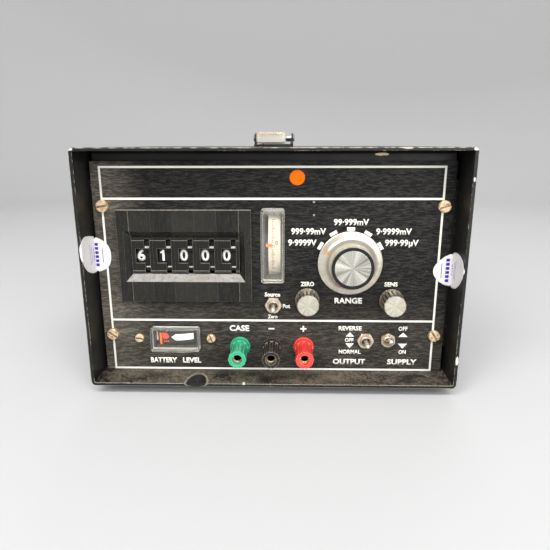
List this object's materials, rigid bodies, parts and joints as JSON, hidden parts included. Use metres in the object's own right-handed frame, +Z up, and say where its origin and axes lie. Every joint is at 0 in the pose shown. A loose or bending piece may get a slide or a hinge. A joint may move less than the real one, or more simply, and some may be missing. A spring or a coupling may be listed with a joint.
{
  "type": "measuring potentiometer",
  "caption": "Bench measuring potentiometer in a hooded black steel sleeve, with thumbwheel decades, edgewise meters, range dial, toggles and binding posts.",
  "frame": {"origin": "on the bench under the middle of the bounding box", "axes": "+Z up, front panel facing -Y, +X to the right seen from the front"},
  "size_m": [0.217, 0.2016, 0.1505],
  "materials": {
    "case_paint": "satin black stove enamel, chipped at the rim",
    "panel_black": "brushed and black dyed, semi-matt",
    "zinc_steel": "zinc plated, dull",
    "black_steel": "black paint",
    "chrome_caps": "polished chrome plate",
    "strap_vinyl": "black vinyl over a steel strip",
    "foot_rubber": "moulded black rubber",
    "bank_plastic": "fine-grained black moulding",
    "wheel_plastic": "glossy black moulding",
    "fibre_board": "green glass-fibre board",
    "meter_plastic": "black moulding",
    "clear_cover": "clear acrylic moulding",
    "cream_card": "cream printed card",
    "black_card": "black printed card",
    "pointer_orange": "fluorescent orange paint",
    "screw_nickel": "worn nickel plate on brass",
    "knob_aluminium": "turned and knurled, clear anodised",
    "spun_aluminium": "spun face",
    "knob_black": "black ring",
    "shaft_steel": "turned",
    "switch_parts": "phenolic wafers and plated frame",
    "nut_nickel": "worn nickel plate",
    "toggle_case": "phenolic switch body",
    "lever_chrome": "plated brass lever",
    "post_green": "moulded thermoplastic",
    "post_black": "moulded thermoplastic",
    "post_red": "moulded thermoplastic",
    "stud_brass": "turned brass",
    "components": "potted and wound components",
    "tray_metal": "folded sheet",
    "cell_jacket": "metal-jacketed cells"
  },
  "bodies": {
    "cabinet": {"case_shell": "case_paint", "stop_angle": "case_paint", "feet": "foot_rubber", "foot_screws": "zinc_steel", "case_nuts": "zinc_steel", "rear_panel": "case_paint", "rear_screws": "screw_nickel", "side_rails": "black_steel", "rail_screws": "black_steel", "handle_brackets": "black_steel", "handle_screws": "zinc_steel", "handle_pins": "zinc_steel", "front_panel": "panel_black", "panel_screws": "screw_nickel", "bank_cheeks": "bank_plastic", "digit_housings": "bank_plastic", "bank_rods": "zinc_steel", "digit_boards": "fibre_board", "null_meter_body": "meter_plastic", "null_meter_cover": "clear_cover", "null_meter_scale": "cream_card", "battery_meter_body": "meter_plastic", "battery_meter_cover": "clear_cover", "battery_meter_scale": "black_card", "battery_meter_screws": "screw_nickel", "range_switch": "switch_parts", "trim_pots": "switch_parts", "control_nuts": "nut_nickel", "toggle_bushes": "nut_nickel", "toggle_bodies": "toggle_case", "toggle_nuts": "nut_nickel", "post_base_green": "post_green", "post_base_black": "post_black", "post_base_red": "post_red", "post_studs": "stud_brass", "post_nuts": "stud_brass", "circuit_board": "fibre_board", "board_parts": "components", "battery_tray": "tray_metal", "battery_cells": "cell_jacket"},
    "wheel_1": {"thumbwheel_1": "wheel_plastic"},
    "wheel_2": {"thumbwheel_2": "wheel_plastic"},
    "wheel_3": {"thumbwheel_3": "wheel_plastic"},
    "wheel_4": {"thumbwheel_4": "wheel_plastic"},
    "wheel_5": {"thumbwheel_5": "wheel_plastic"},
    "null_movement": {"null_pointer": "pointer_orange"},
    "battery_movement": {"battery_pointer": "pointer_orange"},
    "range_dial": {"range_knob": "knob_aluminium", "range_knob_ring": "knob_black", "range_knob_insert": "spun_aluminium", "range_shaft": "shaft_steel"},
    "zero_dial": {"zero_knob": "knob_aluminium", "zero_shaft": "shaft_steel"},
    "sens_dial": {"sens_knob": "knob_aluminium", "sens_shaft": "shaft_steel"},
    "source_toggle": {"source_lever": "lever_chrome"},
    "output_toggle": {"output_lever": "lever_chrome"},
    "supply_toggle": {"supply_lever": "lever_chrome"},
    "green_post_cap": {"post_cap_green": "post_green"},
    "black_post_cap": {"post_cap_black": "post_black"},
    "red_post_cap": {"post_cap_red": "post_red"},
    "carrying_strap": {"handle_strap": "strap_vinyl", "handle_caps": "chrome_caps"}
  },
  "joints": [
    {"name": "decade_1_turn", "type": "hinge", "parent": "cabinet", "child": "wheel_1", "pos_m": [-0.07698, -0.0598, 0.0799], "axis": [1, 0, 0], "continuous": true},
    {"name": "decade_2_turn", "type": "hinge", "parent": "cabinet", "child": "wheel_2", "pos_m": [-0.06427, -0.0598, 0.0799], "axis": [1, 0, 0], "continuous": true},
    {"name": "decade_3_turn", "type": "hinge", "parent": "cabinet", "child": "wheel_3", "pos_m": [-0.05158, -0.0598, 0.0799], "axis": [1, 0, 0], "continuous": true},
    {"name": "decade_4_turn", "type": "hinge", "parent": "cabinet", "child": "wheel_4", "pos_m": [-0.03887, -0.0598, 0.0799], "axis": [1, 0, 0], "continuous": true},
    {"name": "decade_5_turn", "type": "hinge", "parent": "cabinet", "child": "wheel_5", "pos_m": [-0.02618, -0.0598, 0.0799], "axis": [1, 0, 0], "continuous": true},
    {"name": "null_needle_swing", "type": "hinge", "parent": "cabinet", "child": "null_movement", "pos_m": [0, -0.0544, 0.0869], "axis": [1, 0, 0], "range_deg": [-32, 32], "stiffness_Nm_per_rad": 0.002},
    {"name": "battery_needle_swing", "type": "hinge", "parent": "cabinet", "child": "battery_movement", "pos_m": [-0.0593, -0.0604, 0.02925], "axis": [0, 0, 1], "range_deg": [0, 48], "stiffness_Nm_per_rad": 0.002},
    {"name": "range_turn", "type": "hinge", "parent": "cabinet", "child": "range_dial", "pos_m": [0.0449, -0.0802, 0.0764], "axis": [0, 1, 0], "range_deg": [0, 120]},
    {"name": "zero_turn", "type": "hinge", "parent": "cabinet", "child": "zero_dial", "pos_m": [0.0204, -0.0802, 0.054], "axis": [0, 1, 0], "range_deg": [-150, 150]},
    {"name": "sens_turn", "type": "hinge", "parent": "cabinet", "child": "sens_dial", "pos_m": [0.07, -0.0802, 0.0538], "axis": [0, 1, 0], "range_deg": [-150, 150]},
    {"name": "source_lever_tilt", "type": "hinge", "parent": "cabinet", "child": "source_toggle", "pos_m": [0.00015, -0.0787, 0.05035], "axis": [1, 0, 0], "range_deg": [-13, 13]},
    {"name": "output_lever_tilt", "type": "hinge", "parent": "cabinet", "child": "output_toggle", "pos_m": [0.05595, -0.0787, 0.0281], "axis": [1, 0, 0], "range_deg": [-13, 13]},
    {"name": "supply_lever_tilt", "type": "hinge", "parent": "cabinet", "child": "supply_toggle", "pos_m": [0.0695, -0.0787, 0.0285], "axis": [1, 0, 0], "range_deg": [0, 26]},
    {"name": "green_cap_loosen", "type": "slide", "parent": "cabinet", "child": "green_post_cap", "axis": [0, -1, 0], "range_m": [0, 0.004]},
    {"name": "black_cap_loosen", "type": "slide", "parent": "cabinet", "child": "black_post_cap", "axis": [0, -1, 0], "range_m": [0, 0.004]},
    {"name": "red_cap_loosen", "type": "slide", "parent": "cabinet", "child": "red_post_cap", "axis": [0, -1, 0], "range_m": [0, 0.004]},
    {"name": "strap_slide", "type": "slide", "parent": "cabinet", "child": "carrying_strap", "axis": [0, 1, 0], "range_m": [-0.003, 0.003]}
  ]
}
